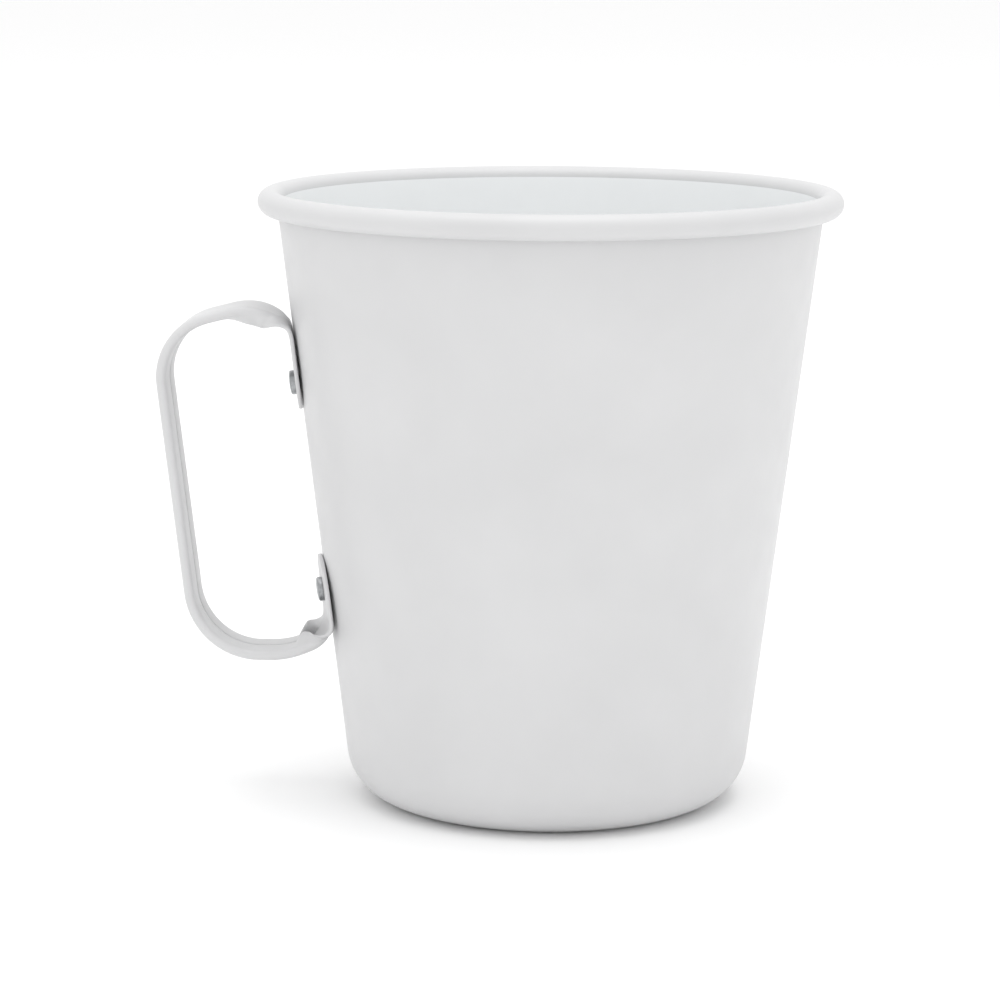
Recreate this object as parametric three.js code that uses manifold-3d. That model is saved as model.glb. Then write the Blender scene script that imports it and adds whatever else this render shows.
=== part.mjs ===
// A half-litre dipping cup of coated sheet metal: a one-piece drawn cup with a rolled rim,
// and a rolled strap handle held by two solid rivets.
// Millimetres, +Z up. The origin is the centre of the flat underside, and the handle points to -X.
import * as THREE from 'three';
import { mergeVertices } from 'three/addons/utils/BufferGeometryUtils.js';
import { ParametricGeometry } from 'three/addons/geometries/ParametricGeometry.js';
import Module from 'manifold-3d';

const wasm = await Module();
wasm.setup();

const DEG = Math.PI / 180;

// Driving dimensions of the cup.
const CUP_HEIGHT = 106;
const RIM_RADIUS = 50;
const CUP_SHEET = 1.0;
const BEAD_RADIUS = 2.1;
const WALL_LEAN = 7.0 * DEG;
const CORNER_RADIUS = 9;
const CURL_END = -118 * DEG;
const CUP_SIDES = 64;

// Driving dimensions of the handle strap: a strip whose two long edges are rolled in until they
// almost meet at the middle of the finger side. Towards each tab the roll opens again.
const STRAP_SHEET = 0.7;
const FLAT_HALF = 4.4;
const STRAP_DEPTH = 1.8;
const SEAM_GAP = 0.5;
const TAB_WIDTH = 14.6;
const FOLD_RADIUS = (STRAP_DEPTH - STRAP_SHEET) / 2;
const ROLLED_STRIP = 4 * FLAT_HALF + 2 * Math.PI * FOLD_RADIUS - SEAM_GAP;

// How far the strap stands off the wall where its edges start to turn in, stand upright and meet.
const UPPER_ROLL = { start: 0.4, upright: 3.3, closed: 12 };
const LOWER_ROLL = { start: 0.4, upright: 1.8, closed: 6.0 };

// The loop is bent slightly round from the plane of its rivets, over its first stretch.
const LOOP_TURN = -7 * DEG;
const TURN_STRETCH = 6;

// The lower tab is riveted a little further round the cup than the upper one. The loop takes up
// the difference between these shares of its length.
const LOWER_SKEW = 3.6 * DEG;
const SKEW_START = 0.62;
const SKEW_END = 0.86;

// Corners of the loop, as distance out from the cup's axis and height, with the bend at each.
const UPPER_BEND = { height: 83.9, bend: 5.1 };
const CROWN = { out: 51.0, height: 87.0, bend: 11.0 };
const UPPER_CORNER = { out: 68.3, height: 82.6, bend: 11.6 };
const LOWER_CORNER = { out: 61.5, height: 25.0, bend: 12.5 };
const SAG = { out: 44.5, height: 25.3, bend: 16.1 };
const LOWER_BEND = { height: 28.8, bend: 5.6 };

// Rivets: height of each on the wall, its place round the cup, and how far its tab runs on past
// it to a round end.
const UPPER_RIVET = { height: 72.9, around: 0, reach: 4.6 };
const LOWER_RIVET = { height: 37.2, around: LOWER_SKEW, reach: 6 };
const SHANK_RADIUS = 1.2;
const HEAD_RADIUS = 2.1;
const HEAD_HEIGHT = 1.0;
const INNER_HEAD_RADIUS = 2.5;
const INNER_HEAD_HEIGHT = 0.8;
const RIVET_SIDES = 24;
const FIT_GAP = 0.25;

const BEAD_CENTRE = { out: RIM_RADIUS - BEAD_RADIUS, height: CUP_HEIGHT - BEAD_RADIUS };

// Outer radius of the conical wall at a height. It is tangent to the hollow inside the rolled rim.
function wallRadius(height) {
  const hollow = BEAD_RADIUS - CUP_SHEET;
  const rise = height - BEAD_CENTRE.height;
  return BEAD_CENTRE.out - hollow / Math.cos(WALL_LEAN) + rise * Math.tan(WALL_LEAN);
}

// Points of a circular arc, both ends included.
function arc(centreX, centreY, radius, from, to, steps) {
  return Array.from({ length: steps + 1 }, (_, i) => {
    const angle = from + ((to - from) * i) / steps;
    return new THREE.Vector2(centreX + radius * Math.cos(angle), centreY + radius * Math.sin(angle));
  });
}

// A closed mesh, turned by a profile about the vertical axis.
function turned(profile, sides) {
  return new THREE.LatheGeometry(profile, sides).rotateX(Math.PI / 2);
}

function toSolid(geometry) {
  const bare = geometry.clone();
  bare.deleteAttribute('normal');
  bare.deleteAttribute('uv');
  const merged = mergeVertices(bare, 1e-4);
  const corners = [];
  const index = merged.index.array;
  for (let i = 0; i < index.length; i += 3) {
    const [a, b, c] = [index[i], index[i + 1], index[i + 2]];
    if (a !== b && b !== c && c !== a) corners.push(a, b, c);
  }
  return new wasm.Manifold(
    new wasm.Mesh({
      numProp: 3,
      vertProperties: merged.attributes.position.array,
      triVerts: new Uint32Array(corners),
    }),
  );
}

function toGeometry(solid) {
  const mesh = solid.getMesh();
  const geometry = new THREE.BufferGeometry();
  geometry.setAttribute('position', new THREE.BufferAttribute(mesh.vertProperties, 3));
  geometry.setIndex(new THREE.BufferAttribute(mesh.triVerts, 1));
  geometry.computeVertexNormals();
  return geometry;
}

// Moves a shape made along +Z at the origin to a place on the wall's outer face, with +Z pointing
// straight out of the wall.
function onWall(geometry, { height, around }) {
  return geometry
    .rotateY(-(Math.PI / 2 + WALL_LEAN))
    .translate(-wallRadius(height), 0, height)
    .rotateZ(around);
}

function rivetHole(rivet) {
  const radius = SHANK_RADIUS + FIT_GAP;
  const halfLength = 4;
  const hole = new THREE.CylinderGeometry(radius, radius, 2 * halfLength, RIVET_SIDES);
  return toSolid(onWall(hole.rotateX(Math.PI / 2), rivet));
}

function drillRivetHoles(geometry) {
  return toGeometry(
    toSolid(geometry).subtract(rivetHole(UPPER_RIVET)).subtract(rivetHole(LOWER_RIVET)),
  );
}

// The cup: flat base, round bottom corner, conical wall and a rim rolled outwards and down. The
// roll stops just short of the wall, so the hollow inside it is open.
function cupShell() {
  const hollow = BEAD_RADIUS - CUP_SHEET;
  const wallSide = Math.PI - WALL_LEAN;
  const cornerOut =
    wallRadius(0) + CORNER_RADIUS * Math.tan(WALL_LEAN) - CORNER_RADIUS / Math.cos(WALL_LEAN);
  const { out, height } = BEAD_CENTRE;
  const profile = [
    new THREE.Vector2(0, 0),
    ...arc(cornerOut, CORNER_RADIUS, CORNER_RADIUS, -Math.PI / 2, -WALL_LEAN, 7),
    ...arc(out, height, hollow, wallSide, CURL_END, 9),
    ...arc(out, height, BEAD_RADIUS, CURL_END, wallSide, 14),
    ...arc(cornerOut, CORNER_RADIUS, CORNER_RADIUS - CUP_SHEET, -WALL_LEAN, -Math.PI / 2, 7),
    new THREE.Vector2(0, CUP_SHEET),
  ];
  return drillRivetHoles(turned(profile, CUP_SIDES));
}

// The line that the strap's outer face follows, seen from the side: straight stretches joined by
// round bends. x is distance from the cup's axis and y is height.
function loopLine() {
  const clear = FIT_GAP / Math.cos(WALL_LEAN);
  const onFace = (height) => new THREE.Vector2(wallRadius(height) + clear, height);
  const corner = ({ out, height }) => new THREE.Vector2(out, height);
  const points = [
    onFace(UPPER_RIVET.height - UPPER_RIVET.reach),
    onFace(UPPER_BEND.height),
    corner(CROWN),
    corner(UPPER_CORNER),
    corner(LOWER_CORNER),
    corner(SAG),
    onFace(LOWER_BEND.height),
    onFace(LOWER_RIVET.height + LOWER_RIVET.reach),
  ];
  const bends = [UPPER_BEND, CROWN, UPPER_CORNER, LOWER_CORNER, SAG, LOWER_BEND];
  const line = [points[0]];
  bends.forEach(({ bend }, i) => {
    line.push(...roundedCorner(points[i], points[i + 1], points[i + 2], bend));
  });
  line.push(points[points.length - 1]);
  return line;
}

// The arc of a given radius that rounds the corner at b, with a step about every 11 degrees.
function roundedCorner(a, b, c, radius) {
  const back = a.clone().sub(b).normalize();
  const on = c.clone().sub(b).normalize();
  const half = Math.acos(THREE.MathUtils.clamp(back.dot(on), -1, 1)) / 2;
  const centre = back.clone().add(on).normalize().multiplyScalar(radius / Math.sin(half)).add(b);
  const start = back.multiplyScalar(radius / Math.tan(half)).add(b).sub(centre);
  const turn = (Math.PI - 2 * half) * Math.sign(start.cross(on));
  const steps = Math.max(2, Math.ceil(Math.abs(turn) / (11 * DEG)));
  return Array.from({ length: steps + 1 }, (_, i) =>
    start.clone().rotateAround(new THREE.Vector2(), (turn * i) / steps).add(centre),
  );
}

// Adds stations to a line so that no step is longer than a given length.
function subdivided(line, longest) {
  const fine = [line[0]];
  for (let i = 1; i < line.length; i++) {
    const steps = Math.ceil(line[i].distanceTo(line[i - 1]) / longest);
    for (let k = 1; k <= steps; k++) fine.push(line[i - 1].clone().lerp(line[i], k / steps));
  }
  return fine;
}

const UP = new THREE.Vector3(0, 0, 1);
const ramp = (x) => THREE.MathUtils.smoothstep(x, 0, 1);

// Width of the strip before it is rolled: a round tab that widens to the rolled strip.
function stripWidth(fromEnd, standOff, { upright, closed }) {
  const tabRadius = TAB_WIDTH / 2;
  if (fromEnd < tabRadius) return 2 * Math.sqrt(tabRadius ** 2 - (tabRadius - fromEnd) ** 2);
  const widening = ramp((standOff - upright / 2) / (closed - upright / 2));
  return THREE.MathUtils.lerp(TAB_WIDTH, ROLLED_STRIP, widening);
}

// How far the strip's edges are folded: its depth rises evenly until they stand upright, and then
// falls evenly until they lie flat against its back.
function foldAngle(standOff, { start, upright, closed }) {
  if (standOff < upright) return Math.asin(Math.max(0, (standOff - start) / (upright - start)));
  return Math.PI - Math.asin(Math.max(0, 1 - (standOff - upright) / (closed - upright)));
}

// Half of the strap's section, as pairs of distance across and depth, from the middle of its outer
// face round the edge and back: flat, then a bend through the fold, then a straight flange.
function halfSection(strip, fold) {
  const halfSheet = STRAP_SHEET / 2;
  const edge = Math.min(halfSheet, strip / 4);
  const flat = Math.min(FLAT_HALF, 0.3 * strip);
  const flange = Math.max(strip / 2 - edge - flat - fold * FOLD_RADIUS, 0.01);
  const centre = halfSheet + FOLD_RADIUS;
  const foldSteps = 5;
  const bend = arc(flat, centre, FOLD_RADIUS, -Math.PI / 2, fold - Math.PI / 2, foldSteps);
  const along = new THREE.Vector2(Math.cos(fold), Math.sin(fold)).multiplyScalar(flange);
  const flangeEnd = bend[foldSteps].clone().add(along);
  const middle = [new THREE.Vector2(flat / 3, halfSheet), ...bend, flangeEnd];
  const face = (side) =>
    middle.map(({ x, y }, i) => {
      const tilt = (fold * THREE.MathUtils.clamp(i - 1, 0, foldSteps)) / foldSteps;
      const away = side * halfSheet;
      return [x + away * Math.sin(tilt), y - away * Math.cos(tilt)];
    });
  const round = arc(flangeEnd.x, flangeEnd.y, edge, fold - Math.PI / 2, fold + Math.PI / 2, 3);
  const tip = round.slice(1, -1).map(({ x, y }) => [x, y]);
  return [...face(1), ...tip, ...face(-1).reverse()];
}

// The handle: a rolled strip, bent to a loop, with a flat round tab at each end.
function handleStrap() {
  const longestStep = 2;
  const stations = subdivided(loopLine(), longestStep);
  const lengths = [0];
  for (let i = 1; i < stations.length; i++) {
    lengths.push(lengths[i - 1] + stations[i].distanceTo(stations[i - 1]));
  }
  const total = lengths[lengths.length - 1];
  const stationAt = (along) => {
    let i = 1;
    while (i < lengths.length - 1 && lengths[i] < along) i++;
    const share = (along - lengths[i - 1]) / (lengths[i] - lengths[i - 1]);
    return stations[i - 1].clone().lerp(stations[i], share);
  };
  const tabRadius = TAB_WIDTH / 2;
  const endSteps = 7;
  const roundEnd = Array.from(
    { length: endSteps },
    (_, i) => tabRadius * (1 - Math.cos(((i + 0.8) / endSteps) * (Math.PI / 2))),
  );
  const clearOfEnds = tabRadius + 1;
  const middle = lengths.filter((s) => s > clearOfEnds && s < total - clearOfEnds);
  const places = [...roundEnd, ...middle, ...roundEnd.map((s) => total - s).reverse()];
  return drillRivetHoles(lofted(places.map((along) => strapRing(along, total, stationAt))));
}

// The section of the strap at a distance along its line, as points in space.
function strapRing(along, total, stationAt) {
  const probe = 0.6;
  const point = stationAt(along);
  const ahead = stationAt(Math.min(total, along + probe));
  const behind = stationAt(Math.max(0, along - probe));
  const heading = ahead.sub(behind).normalize();
  const share = along / total;
  const roll = share < 0.5 ? UPPER_ROLL : LOWER_ROLL;
  const standOff = point.x - wallRadius(point.y) - FIT_GAP / Math.cos(WALL_LEAN);
  const strip = stripWidth(Math.min(along, total - along), standOff, roll);
  const half = halfSection(strip, foldAngle(standOff, roll));
  const section = [...half, ...half.map(([across, deep]) => [-across, deep]).reverse()];
  const leaving = ramp(standOff / TURN_STRETCH);
  const turn = LOOP_TURN * leaving;
  const skew = LOWER_SKEW * ramp((share - SKEW_START) / (SKEW_END - SKEW_START));
  return section.map(([across, deep]) => {
    const out = point.x + heading.y * deep;
    const up = point.y - heading.x * deep;
    const beyond = standOff + heading.y * deep * leaving;
    return new THREE.Vector3(
      beyond - out - beyond * Math.cos(turn) - across * Math.sin(turn),
      across * Math.cos(turn) - beyond * Math.sin(LOOP_TURN),
      up,
    ).applyAxisAngle(UP, skew);
  });
}

// A closed skin through rings of points, closed at each end by a fan to the middle of its ring.
function lofted(rings) {
  const middle = (ring) =>
    ring.reduce((sum, p) => sum.add(p), new THREE.Vector3()).divideScalar(ring.length);
  const first = rings[0].map(() => middle(rings[0]));
  const last = rings[0].map(() => middle(rings[rings.length - 1]));
  const rows = [first, ...rings, last];
  const around = rings[0].length;
  const surface = (u, v, target) => {
    const row = rows[Math.round(v * (rows.length - 1))];
    target.copy(row[Math.round(u * around) % around]);
  };
  return new ParametricGeometry(surface, around, rows.length - 1);
}

// A solid rivet through the tab and the wall: a low round head outside and one inside the cup.
// It is turned along +Z, with z = 0 on the wall's outer face.
function rivet(place) {
  const under = STRAP_SHEET + 2 * FIT_GAP;
  const inside = -CUP_SHEET - FIT_GAP;
  const edge = 0.45;
  const profile = [
    new THREE.Vector2(0, inside - INNER_HEAD_HEIGHT),
    ...arc(INNER_HEAD_RADIUS - edge, inside - INNER_HEAD_HEIGHT + edge, edge, -Math.PI / 2, 0, 3),
    new THREE.Vector2(INNER_HEAD_RADIUS, inside),
    new THREE.Vector2(SHANK_RADIUS, inside),
    new THREE.Vector2(SHANK_RADIUS, under),
    new THREE.Vector2(HEAD_RADIUS, under),
    ...arc(HEAD_RADIUS - edge, under + HEAD_HEIGHT - edge, edge, 0, Math.PI / 2, 3),
    new THREE.Vector2(0, under + HEAD_HEIGHT),
  ];
  return onWall(turned(profile, RIVET_SIDES), place);
}

const whiteCoat = () =>
  new THREE.MeshStandardMaterial({ color: 0xf1f2f2, roughness: 0.45, metalness: 0 });
const bareAluminium = () =>
  new THREE.MeshStandardMaterial({ color: 0xb4b6b8, roughness: 0.35, metalness: 1 });

function named(name, geometry, material) {
  const mesh = new THREE.Mesh(geometry, material);
  mesh.name = name;
  return mesh;
}

const cup = new THREE.Group();
cup.add(
  named('cup_shell', cupShell(), whiteCoat()),
  named('handle_strap', handleStrap(), whiteCoat()),
  named('upper_rivet', rivet(UPPER_RIVET), bareAluminium()),
  named('lower_rivet', rivet(LOWER_RIVET), bareAluminium()),
);

export default cup;
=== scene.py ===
import math

import bpy
import numpy as np
from mathutils import Matrix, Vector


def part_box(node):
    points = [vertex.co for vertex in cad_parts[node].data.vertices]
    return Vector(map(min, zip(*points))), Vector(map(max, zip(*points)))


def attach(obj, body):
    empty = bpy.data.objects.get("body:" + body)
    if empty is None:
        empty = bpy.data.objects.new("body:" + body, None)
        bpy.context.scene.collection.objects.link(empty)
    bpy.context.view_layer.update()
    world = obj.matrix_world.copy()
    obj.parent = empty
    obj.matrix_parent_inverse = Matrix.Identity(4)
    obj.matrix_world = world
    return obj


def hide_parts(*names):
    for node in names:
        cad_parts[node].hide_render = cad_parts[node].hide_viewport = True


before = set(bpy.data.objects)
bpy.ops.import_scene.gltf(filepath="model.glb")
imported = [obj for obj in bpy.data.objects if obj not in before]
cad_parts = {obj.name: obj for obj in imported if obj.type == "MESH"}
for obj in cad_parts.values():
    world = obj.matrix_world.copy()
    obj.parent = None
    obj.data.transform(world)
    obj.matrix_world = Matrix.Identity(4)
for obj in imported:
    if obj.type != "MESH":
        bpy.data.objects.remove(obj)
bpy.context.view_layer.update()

# A white coated metal cup with a riveted strap handle. Metres, +Z up, the handle towards -X.

MM = 0.001
DEG = math.pi / 180

# Cup. Its height and rim come from the frame, and the rest is as in the part's design.
cup_low, cup_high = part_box("cup_shell")
CUP_HEIGHT = cup_high.z
RIM_RADIUS = cup_high.x
CUP_SHEET = 1.0 * MM
BEAD_RADIUS = 2.1 * MM
WALL_LEAN = 7.0 * DEG
CORNER_RADIUS = 9 * MM
CURL_END = -118 * DEG
BEAD_OUT = RIM_RADIUS - BEAD_RADIUS
BEAD_HEIGHT = CUP_HEIGHT - BEAD_RADIUS
CUP_SIDES = 288
CORNER_STEPS = 18
INSIDE_ROLL_STEPS = 30
OUTSIDE_ROLL_STEPS = 44
BASE_STEP = 4 * MM
WALL_STEP = 2.5 * MM

# Handle strap: a strip whose two long edges are rolled in until they almost meet at the middle
# of the finger side. Towards each tab the roll opens again.
STRAP_SHEET = 0.7 * MM
FLAT_HALF = 4.4 * MM
STRAP_DEPTH = 1.8 * MM
SEAM_GAP = 0.5 * MM
TAB_WIDTH = 14.6 * MM
FOLD_RADIUS = (STRAP_DEPTH - STRAP_SHEET) / 2
ROLLED_STRIP = 4 * FLAT_HALF + 2 * math.pi * FOLD_RADIUS - SEAM_GAP
SEAT_GAP = 0.06 * MM

# How far the strap stands off the wall where its edges start to turn in, stand upright and meet.
UPPER_ROLL = (0.4 * MM, 3.3 * MM, 12 * MM)
LOWER_ROLL = (0.4 * MM, 1.8 * MM, 6.0 * MM)

# The loop is bent slightly round from the plane of its rivets, over its first stretch.
LOOP_TURN = -7 * DEG
TURN_STRETCH = 6 * MM

# The lower tab is riveted a little further round the cup than the upper one. The loop takes up
# the difference between these shares of its length.
LOWER_SKEW = 3.6 * DEG
SKEW_START = 0.62
SKEW_END = 0.86

# Corners of the loop: distance out from the cup's axis, height and radius of bend.
UPPER_BEND = (None, 83.9 * MM, 5.1 * MM)
CROWN = (51.0 * MM, 87.0 * MM, 11.0 * MM)
UPPER_CORNER = (68.3 * MM, 82.6 * MM, 11.6 * MM)
LOWER_CORNER = (61.5 * MM, 25.0 * MM, 12.5 * MM)
SAG = (44.5 * MM, 25.3 * MM, 16.1 * MM)
LOWER_BEND = (None, 28.8 * MM, 5.6 * MM)

# Rivets: height on the wall, and how far the tab runs on past each to its round end.
UPPER_RIVET, UPPER_REACH = 72.9 * MM, 4.6 * MM
LOWER_RIVET, LOWER_REACH = 37.2 * MM, 6.0 * MM
RIVET_PLACES = ((UPPER_RIVET, 0.0), (LOWER_RIVET, LOWER_SKEW))
SHANK_RADIUS = 1.2 * MM
HOLE_RADIUS = 1.3 * MM
HEAD_RADIUS = 2.1 * MM
HEAD_HEIGHT = 1.0 * MM
INNER_HEAD_RADIUS = 2.5 * MM
INNER_HEAD_HEIGHT = 0.8 * MM
RIVET_SIDES = 64
HOLE_SIDES = 48

# Colours. Each coat drifts between two tints, and so does the rivets' metal. Outside and inside are
# one white coat; the inside copy is painted lighter.
OUTER_TINTS = (0.64, 0.64, 0.645), (0.615, 0.615, 0.62)
# Painted light: the inside tints are the same white made lighter for the light that falls in at the
# mouth.
INNER_PAINTED_LIGHT_TINTS = (0.86, 0.875, 0.88), (0.84, 0.855, 0.86)
# The darker metal tint is painted dark reflection over the dull grey of the bare rivets.
METAL_AND_REFLECTION_TINTS = (0.27, 0.28, 0.29), (0.5, 0.51, 0.52)
FLOOR_COLOUR = (0.97, 0.97, 0.97, 1)

# Studio: an even white surround and one large soft light over the cup.
FLOOR_HALF = 12.0
SURROUND_STRENGTH = 1.0
LIGHT_PLACE = (0.0, -0.1, 1.6)
LIGHT_SIZE = 1.4
LIGHT_POWER = 10

# Camera: its distance and height from the cup, where it aims, and how far the handle is turned
# towards it.
CAMERA_DISTANCE = 581.7 * MM
CAMERA_HEIGHT = 156.2 * MM
CAMERA_DOWN = 10.17 * DEG
CAMERA_LEFT = 0.83 * DEG
CAMERA_ROLL = 0.25 * DEG
HANDLE_NEARER = 4.7 * DEG
FIELD_OF_VIEW = 16.718 * DEG


# ---- shape helpers -------------------------------------------------------------------------

def wall_radius(height):
    """Outer radius of the conical wall, which is tangent to the hollow in the rolled rim."""
    hollow = BEAD_RADIUS - CUP_SHEET
    rise = height - BEAD_HEIGHT
    return BEAD_OUT - hollow / math.cos(WALL_LEAN) + rise * math.tan(WALL_LEAN)


def ramp(x):
    x = np.clip(x, 0.0, 1.0)
    return x * x * (3 - 2 * x)


def mix(a, b, share):
    return a + (b - a) * share


def arc(centre, radius, start, end, steps):
    """Points of a circular arc, both ends included."""
    angles = np.linspace(start, end, steps + 1)
    return [np.array(centre) + radius * np.array([math.cos(t), math.sin(t)]) for t in angles]


def turned_round(x, y, angle):
    """A point turned about the cup's axis."""
    return x * math.cos(angle) - y * math.sin(angle), x * math.sin(angle) + y * math.cos(angle)


def straight(a, b, longest):
    """Points between a and b, without the two ends."""
    count = math.ceil(np.linalg.norm(b - a) / longest)
    return [mix(a, b, i / count) for i in range(1, count)]


def rounded_corner(a, b, c, radius, step=3 * DEG):
    """The arc that rounds the corner at b of the line a, b, c."""
    back = (a - b) / np.linalg.norm(a - b)
    on = (c - b) / np.linalg.norm(c - b)
    half = math.acos(np.clip(back @ on, -1, 1)) / 2
    centre = b + (back + on) / np.linalg.norm(back + on) * radius / math.sin(half)
    arm = b + back * radius / math.tan(half) - centre
    side = math.copysign(1, back[1] * on[0] - back[0] * on[1])
    turn = side * (math.pi - 2 * half)
    start = math.atan2(arm[1], arm[0])
    return arc(centre, radius, start, start + turn, max(2, math.ceil(abs(turn) / step)))


def new_piece(name, points, faces, material):
    mesh = bpy.data.meshes.new(name)
    mesh.from_pydata([tuple(p) for p in points], [], faces)
    mesh.materials.append(material)
    mesh.validate()
    piece = bpy.data.objects.new(name, mesh)
    bpy.context.scene.collection.objects.link(piece)
    return piece


def finish_surface(piece, sharp=42 * DEG):
    """Smooth shading, broken only at edges sharper than a given angle."""
    mesh = piece.data
    mesh.shade_smooth()
    mesh.set_sharp_from_angle(angle=sharp)


def lathe(name, profile, sides, material):
    """A closed piece turned about Z by a profile that starts and ends on the axis."""
    points = [(0, 0, profile[0][1])]
    middle = profile[1:-1]
    for radius, height in middle:
        for k in range(sides):
            t = 2 * math.pi * k / sides
            points.append((radius * math.cos(t), radius * math.sin(t), height))
    points.append((0, 0, profile[-1][1]))
    last = len(points) - 1
    ring = lambda row, k: 1 + row * sides + k % sides
    faces = [(0, ring(0, k + 1), ring(0, k)) for k in range(sides)]
    for row in range(len(middle) - 1):
        for k in range(sides):
            faces.append((ring(row, k), ring(row, k + 1), ring(row + 1, k + 1), ring(row + 1, k)))
    top = len(middle) - 1
    faces += [(last, ring(top, k), ring(top, k + 1)) for k in range(sides)]
    return new_piece(name, points, faces, material)


def loft(name, rings, material):
    """A closed skin through rings of points, ended by a fan to the middle of each end ring."""
    around = len(rings[0])
    points = [p for ring in rings for p in ring]
    points += [np.mean(rings[0], axis=0), np.mean(rings[-1], axis=0)]
    first, last = len(points) - 2, len(points) - 1
    at = lambda row, k: row * around + k % around
    faces = []
    for row in range(len(rings) - 1):
        for k in range(around):
            faces.append((at(row, k), at(row, k + 1), at(row + 1, k + 1), at(row + 1, k)))
    end = len(rings) - 1
    faces += [(first, at(0, k + 1), at(0, k)) for k in range(around)]
    faces += [(last, at(end, k), at(end, k + 1)) for k in range(around)]
    return new_piece(name, points, faces, material)


def point_faces_out(piece):
    """Turns a closed mesh's faces to point out."""
    mesh = piece.data
    volume = 0.0
    for polygon in mesh.polygons:
        corners = [mesh.vertices[i].co for i in polygon.vertices]
        for b, c in zip(corners[1:], corners[2:]):
            volume += corners[0].dot(b.cross(c))
    if volume < 0:
        mesh.flip_normals()


def onto_wall(piece, height, around):
    """Moves a piece made along +Z to the wall's outer face, with +Z pointing out of the wall."""
    lean = math.pi / 2 + WALL_LEAN
    for vertex in piece.data.vertices:
        x, y, z = vertex.co
        turned_x = x * math.cos(lean) - z * math.sin(lean)
        turned_z = x * math.sin(lean) + z * math.cos(lean)
        place = turned_round(turned_x - wall_radius(height), y, around)
        vertex.co = (*place, turned_z + height)
    return piece


def drill(piece, radius):
    """Cuts both rivet holes through a piece."""
    reach = 4 * MM
    for height, around in RIVET_PLACES:
        rod = [np.array([0, -reach]), np.array([radius, -reach])]
        rod += [np.array([radius, reach]), np.array([0, reach])]
        drill_bit = lathe("drill_bit", rod, HOLE_SIDES, piece.data.materials[0])
        onto_wall(drill_bit, height, around)
        point_faces_out(drill_bit)
        cut = piece.modifiers.new("hole", "BOOLEAN")
        cut.object = drill_bit
        cut.operation = "DIFFERENCE"
        cut.solver = "EXACT"
        graph = bpy.context.evaluated_depsgraph_get()
        mesh = bpy.data.meshes.new_from_object(piece.evaluated_get(graph))
        piece.modifiers.clear()
        mesh.name = piece.name
        piece.data = mesh
        bpy.data.objects.remove(drill_bit)


# ---- cup -----------------------------------------------------------------------------------

def cup_profile():
    """Section of the cup's sheet, outside first: base, corner, wall, rolled rim, and back."""
    hollow = BEAD_RADIUS - CUP_SHEET
    wall_side = math.pi - WALL_LEAN
    corner_out = wall_radius(0) + CORNER_RADIUS * (math.tan(WALL_LEAN) - 1 / math.cos(WALL_LEAN))
    corner = (corner_out, CORNER_RADIUS)
    bead = (BEAD_OUT, BEAD_HEIGHT)
    down = -math.pi / 2
    outer_corner = arc(corner, CORNER_RADIUS, down, -WALL_LEAN, CORNER_STEPS)
    inner_corner = arc(corner, CORNER_RADIUS - CUP_SHEET, -WALL_LEAN, down, CORNER_STEPS)
    inside_roll = arc(bead, hollow, wall_side, CURL_END, INSIDE_ROLL_STEPS)
    outside_roll = arc(bead, BEAD_RADIUS, CURL_END, wall_side, OUTSIDE_ROLL_STEPS)
    centre_out = np.array([0.0, 0.0])
    centre_in = np.array([0.0, CUP_SHEET])
    outside = [centre_out, *straight(centre_out, outer_corner[0], BASE_STEP), *outer_corner]
    outside += straight(outer_corner[-1], inside_roll[0], WALL_STEP)
    inside = straight(outside_roll[-1], inner_corner[0], WALL_STEP) + inner_corner
    inside += [*straight(inner_corner[-1], centre_in, BASE_STEP), centre_in]
    return outside + inside_roll + outside_roll + inside


def make_cup(coat, inner_coat_painted_light):
    cup = lathe("cup_body", cup_profile(), CUP_SIDES, coat)
    point_faces_out(cup)
    drill(cup, HOLE_RADIUS)
    # Faces inside the cup take the lighter copy of the coat: painted light falling in at the mouth.
    cup.data.materials.append(inner_coat_painted_light)
    most_of_sheet = 0.9 * CUP_SHEET
    for polygon in cup.data.polygons:
        x, y, z = polygon.center
        faces_in = polygon.normal.x * x + polygon.normal.y * y < 0 or polygon.normal.z > 0.5
        within = math.hypot(x, y) < wall_radius(z) - most_of_sheet
        if faces_in and within and most_of_sheet < z < BEAD_HEIGHT:
            polygon.material_index = 1
    finish_surface(cup)
    return cup


# ---- handle --------------------------------------------------------------------------------

def loop_line():
    """The line that the strap's outer face follows, as distance out and height."""
    clear = SEAT_GAP / math.cos(WALL_LEAN)
    on_face = lambda height: np.array([wall_radius(height) + clear, height])
    corners = (UPPER_BEND, CROWN, UPPER_CORNER, LOWER_CORNER, SAG, LOWER_BEND)
    points = [on_face(UPPER_RIVET - UPPER_REACH)]
    points += [on_face(h) if out is None else np.array([out, h]) for out, h, _ in corners]
    points.append(on_face(LOWER_RIVET + LOWER_REACH))
    line = [points[0]]
    for i, (_, _, bend) in enumerate(corners):
        line += rounded_corner(points[i], points[i + 1], points[i + 2], bend)
    line.append(points[-1])
    return np.array(line)


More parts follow.
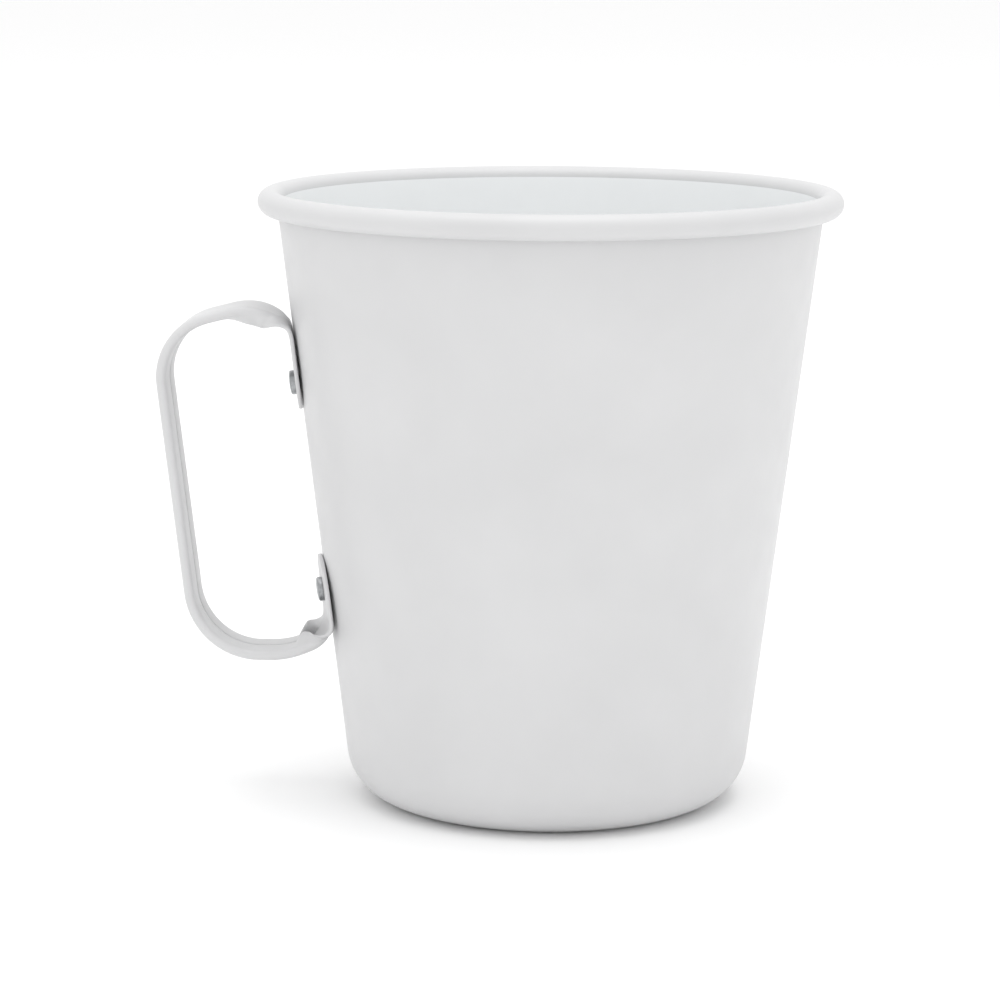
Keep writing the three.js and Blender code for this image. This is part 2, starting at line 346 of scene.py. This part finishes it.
def half_section(strip, fold):
    """Half of the strap's section as pairs of distance across and depth, from the middle of its
    outer face round the edge and back: flat, then a bend through fold, then a straight flange."""
    half_sheet = STRAP_SHEET / 2
    edge = min(half_sheet, strip / 4)
    flat = min(FLAT_HALF, 0.3 * strip)
    flange = max(strip / 2 - edge - flat - fold * FOLD_RADIUS, 0.01 * MM)
    bends = np.linspace(0, fold, 9)
    tilts = [0.0, 0.0, *bends, fold, fold]
    middle = [np.array([share * flat, half_sheet]) for share in (0.2, 0.6)]
    for bend in bends:
        rise = FOLD_RADIUS * (1 - math.cos(bend))
        middle.append(np.array([flat + FOLD_RADIUS * math.sin(bend), half_sheet + rise]))
    along = flange * np.array([math.cos(fold), math.sin(fold)])
    middle += [middle[-1] + 0.5 * along, middle[-1] + along]
    middle = np.array(middle)
    offset = np.array([np.sin(tilts), -np.cos(tilts)]).T * half_sheet
    tip = arc(middle[-1], edge, fold - math.pi / 2, fold + math.pi / 2, 6)[1:-1]
    return [*(middle + offset), *tip, *(middle - offset)[::-1]]


def strap_ring(point, heading, from_end, along):
    """The strap's section at one place on its line, as points in space."""
    stand_off = point[0] - wall_radius(point[1]) - SEAT_GAP / math.cos(WALL_LEAN)
    roll = UPPER_ROLL if along < 0.5 else LOWER_ROLL
    half = half_section(strip_width(from_end, stand_off, roll), fold_angle(stand_off, roll))
    edge = STRAP_SHEET / 2
    if from_end < edge:
        thin = math.sqrt(max(0.0, 1 - ((edge - from_end) / edge) ** 2))
        half = [np.array([across, edge + (deep - edge) * thin]) for across, deep in half]
    section = half + [np.array([-across, deep]) for across, deep in reversed(half)]
    leaving = ramp(stand_off / TURN_STRETCH)
    turn = LOOP_TURN * leaving
    skew = LOWER_SKEW * ramp((along - SKEW_START) / (SKEW_END - SKEW_START))
    ring = []
    for across, deep in section:
        out = point[0] + heading[1] * deep
        up = point[1] - heading[0] * deep
        beyond = stand_off + heading[1] * deep * leaving
        x = beyond - out - beyond * math.cos(turn) - across * math.sin(turn)
        y = across * math.cos(turn) - beyond * math.sin(LOOP_TURN)
        ring.append((*turned_round(x, y, skew), up))
    return ring


def fold_angle(stand_off, roll):
    """How far the strip's edges are folded: its depth rises evenly until they stand upright, and
    then falls evenly until they lie flat against its back."""
    start, upright, closed = roll
    if stand_off < upright:
        return math.asin(max(0.0, (stand_off - start) / (upright - start)))
    return math.pi - math.asin(max(0.0, 1 - (stand_off - upright) / (closed - upright)))


def strip_width(from_end, stand_off, roll):
    """Width of the strip before it is rolled: a round tab that widens to the rolled strip."""
    tab_radius = TAB_WIDTH / 2
    if from_end < tab_radius:
        return 2 * math.sqrt(max(0.0, tab_radius ** 2 - (tab_radius - from_end) ** 2))
    _, upright, closed = roll
    return mix(TAB_WIDTH, ROLLED_STRIP, ramp((stand_off - upright / 2) / (closed - upright / 2)))


def strap_rings(stretches=200):
    """Sections of the strap from the end of the upper tab to the end of the lower one."""
    line = loop_line()
    steps = np.linalg.norm(np.diff(line, axis=0), axis=1)
    line = line[np.concatenate([[True], steps > 1e-7])]
    lengths = np.concatenate([[0], np.cumsum(np.linalg.norm(np.diff(line, axis=0), axis=1))])
    total = lengths[-1]
    on_line = lambda s: np.array([np.interp(s, lengths, line[:, i]) for i in range(2)])
    round_end = TAB_WIDTH / 2 * (1 - np.cos(np.linspace(0.03, math.pi / 2, 18)))
    inner = np.linspace(TAB_WIDTH / 2, total - TAB_WIDTH / 2, stretches)[1:-1]
    places = [*round_end, *inner, *(total - round_end[::-1])]
    probe = 0.5 * MM
    rings = []
    for s in places:
        heading = on_line(min(total, s + probe)) - on_line(max(0, s - probe))
        heading /= np.linalg.norm(heading)
        rings.append(strap_ring(on_line(s), heading, min(s, total - s), s / total))
    return rings


def make_handle(coat):
    handle = loft("handle_strap_skin", strap_rings(), coat)
    point_faces_out(handle)
    drill(handle, HOLE_RADIUS)
    finish_surface(handle)
    return handle


# ---- rivets --------------------------------------------------------------------------------

def make_rivet(name, height, around, metal):
    """A solid rivet: a low pan head outside, and the head formed over inside the cup."""
    under = STRAP_SHEET + 2 * SEAT_GAP
    inside = -CUP_SHEET - SEAT_GAP
    edge = 0.42 * MM
    crown = 0.12 * MM
    inner_edge = 0.38 * MM
    profile = [np.array([0, inside - INNER_HEAD_HEIGHT])]
    inner_centre = (INNER_HEAD_RADIUS - inner_edge, inside - INNER_HEAD_HEIGHT + inner_edge + crown)
    profile += arc(inner_centre, inner_edge, -math.pi / 2, 0, 8)
    profile += [np.array([INNER_HEAD_RADIUS, inside]), np.array([SHANK_RADIUS, inside])]
    profile += [np.array([SHANK_RADIUS, under]), np.array([HEAD_RADIUS, under])]
    profile += arc((HEAD_RADIUS - edge, under + HEAD_HEIGHT - edge - crown), edge, 0, math.pi / 2, 8)
    flat = HEAD_RADIUS * 0.45
    profile += [np.array([flat, under + HEAD_HEIGHT - crown * 0.15])]
    profile += [np.array([0, under + HEAD_HEIGHT])]
    rivet = lathe(name, profile, RIVET_SIDES, metal)
    point_faces_out(rivet)
    onto_wall(rivet, height, around)
    finish_surface(rivet)
    return rivet


# ---- materials -----------------------------------------------------------------------------

def new_material(name):
    material = bpy.data.materials.new(name)
    material.use_nodes = True
    nodes = material.node_tree.nodes
    return material, nodes, material.node_tree.links, nodes["Principled BSDF"]


def noise(nodes, links, size, detail=2.0, roughness=0.5):
    """Noise whose blotches are about a given size in metres."""
    place = nodes.new("ShaderNodeTexCoord")
    texture = nodes.new("ShaderNodeTexNoise")
    texture.inputs["Scale"].default_value = 1 / size
    texture.inputs["Detail"].default_value = detail
    texture.inputs["Roughness"].default_value = roughness
    links.new(place.outputs["Object"], texture.inputs["Vector"])
    return texture.outputs["Fac"]


def ranged(nodes, links, value, low, high, start=0.3, end=0.7):
    """Spreads a value over a range."""
    spread = nodes.new("ShaderNodeMapRange")
    spread.inputs["From Min"].default_value = start
    spread.inputs["From Max"].default_value = end
    spread.inputs["To Min"].default_value = low
    spread.inputs["To Max"].default_value = high
    links.new(value, spread.inputs["Value"])
    return spread.outputs["Result"]


def colour_mix(nodes, links, factor, first, second):
    blend = nodes.new("ShaderNodeMix")
    blend.data_type = "RGBA"
    blend.inputs["A"].default_value = (*first, 1)
    blend.inputs["B"].default_value = (*second, 1)
    links.new(factor, blend.inputs["Factor"])
    return blend.outputs["Result"]


def bump(nodes, links, height, distance, strength, below=None):
    node = nodes.new("ShaderNodeBump")
    node.inputs["Distance"].default_value = distance
    node.inputs["Strength"].default_value = strength
    links.new(height, node.inputs["Height"])
    if below is not None:
        links.new(below, node.inputs["Normal"])
    return node.outputs["Normal"]


def white_coat(name, tint, shade):
    """Satin white coating: faint cloudiness, a fine orange peel and a powdery grain."""
    material, nodes, links, shader = new_material(name)
    cloud = ranged(nodes, links, noise(nodes, links, 16 * MM, 3), 0, 1)
    colour = colour_mix(nodes, links, cloud, tint, shade)
    links.new(colour, shader.inputs["Base Color"])
    rough = ranged(nodes, links, noise(nodes, links, 5 * MM, 3), 0.40, 0.52)
    links.new(rough, shader.inputs["Roughness"])
    peel = bump(nodes, links, noise(nodes, links, 0.9 * MM, 1), 0.02 * MM, 0.5)
    grain = bump(nodes, links, noise(nodes, links, 0.28 * MM, 2), 0.008 * MM, 0.5, peel)
    links.new(grain, shader.inputs["Normal"])
    shader.inputs["Coat Weight"].default_value = 0.15
    shader.inputs["Coat Roughness"].default_value = 0.3
    return material


def bare_aluminium():
    """Rivet metal: dull grey, darkened in patches as painted dark reflections, with fine scratches
    and small dents.
    """
    material, nodes, links, shader = new_material("rivet_aluminium")
    shader.inputs["Metallic"].default_value = 1.0
    # The dark patches are painted reflection, mixed into the metal's own dull grey.
    blotch = ranged(nodes, links, noise(nodes, links, 1.1 * MM, 4), 0, 1)
    colour = colour_mix(nodes, links, blotch, *METAL_AND_REFLECTION_TINTS)
    links.new(colour, shader.inputs["Base Color"])
    rough = ranged(nodes, links, noise(nodes, links, 0.5 * MM, 3), 0.28, 0.5)
    links.new(rough, shader.inputs["Roughness"])
    dents = bump(nodes, links, noise(nodes, links, 0.8 * MM, 2), 0.05 * MM, 0.7)
    scratch = bump(nodes, links, noise(nodes, links, 0.12 * MM, 3), 0.01 * MM, 0.5, dents)
    links.new(scratch, shader.inputs["Normal"])
    return material


# ---- surroundings --------------------------------------------------------------------------

def make_floor():
    around = ((-1, -1), (1, -1), (1, 1), (-1, 1))
    corners = [(x * FLOOR_HALF, y * FLOOR_HALF, 0) for x, y in around]
    material, nodes, links, shader = new_material("studio_floor")
    shader.inputs["Base Color"].default_value = FLOOR_COLOUR
    shader.inputs["Roughness"].default_value = 0.9
    floor = new_piece("studio_floor", corners, [(0, 1, 2, 3)], material)


def soft_box(name, place, size, power):
    """A square area light that faces the middle of the cup."""
    light = bpy.data.lights.new(name, "AREA")
    light.size = size
    light.energy = power
    holder = bpy.data.objects.new(name, light)
    holder.location = place
    aim = cup_middle - holder.location
    holder.rotation_euler = aim.to_track_quat("-Z", "Y").to_euler()
    bpy.context.scene.collection.objects.link(holder)


def make_lights():
    world = bpy.data.worlds.new("studio")
    world.use_nodes = True
    background = world.node_tree.nodes["Background"]
    background.inputs["Color"].default_value = (1, 1, 1, 1)
    background.inputs["Strength"].default_value = SURROUND_STRENGTH
    bpy.context.scene.world = world
    soft_box("overhead", LIGHT_PLACE, LIGHT_SIZE, LIGHT_POWER)
    bpy.context.scene.view_settings.view_transform = "Standard"


def make_camera():
    data = bpy.data.cameras.new("camera")
    data.angle = FIELD_OF_VIEW
    camera = bpy.data.objects.new("camera", data)
    bpy.context.scene.collection.objects.link(camera)
    around = -HANDLE_NEARER
    camera.location = (
        CAMERA_DISTANCE * math.sin(around),
        -CAMERA_DISTANCE * math.cos(around),
        CAMERA_HEIGHT,
    )
    look = (
        Matrix.Rotation(CAMERA_LEFT + around, 4, "Z")
        @ Matrix.Rotation(math.pi / 2 - CAMERA_DOWN, 4, "X")
        @ Matrix.Rotation(CAMERA_ROLL, 4, "Z")
    )
    camera.rotation_mode = "QUATERNION"
    camera.rotation_quaternion = look.to_quaternion()
    bpy.context.scene.camera = camera


# ---- build ---------------------------------------------------------------------------------

cup_middle = (cup_low + cup_high) / 2
coat = white_coat("white_coat", *OUTER_TINTS)
# The same white coat, painted lighter for the inside: painted light.
inner_coat_painted_light = white_coat("white_coat_inside_painted_light", *INNER_PAINTED_LIGHT_TINTS)
metal = bare_aluminium()

cup = make_cup(coat, inner_coat_painted_light)
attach(cup, "root")
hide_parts("cup_shell")

handle = make_handle(coat)
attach(handle, "root")
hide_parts("handle_strap")

for node, (height, around) in zip(("upper_rivet", "lower_rivet"), RIVET_PLACES):
    rivet = make_rivet(node + "_metal", height, around, metal)
    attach(rivet, "root")
    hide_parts(node)

make_floor()
make_lights()
make_camera()
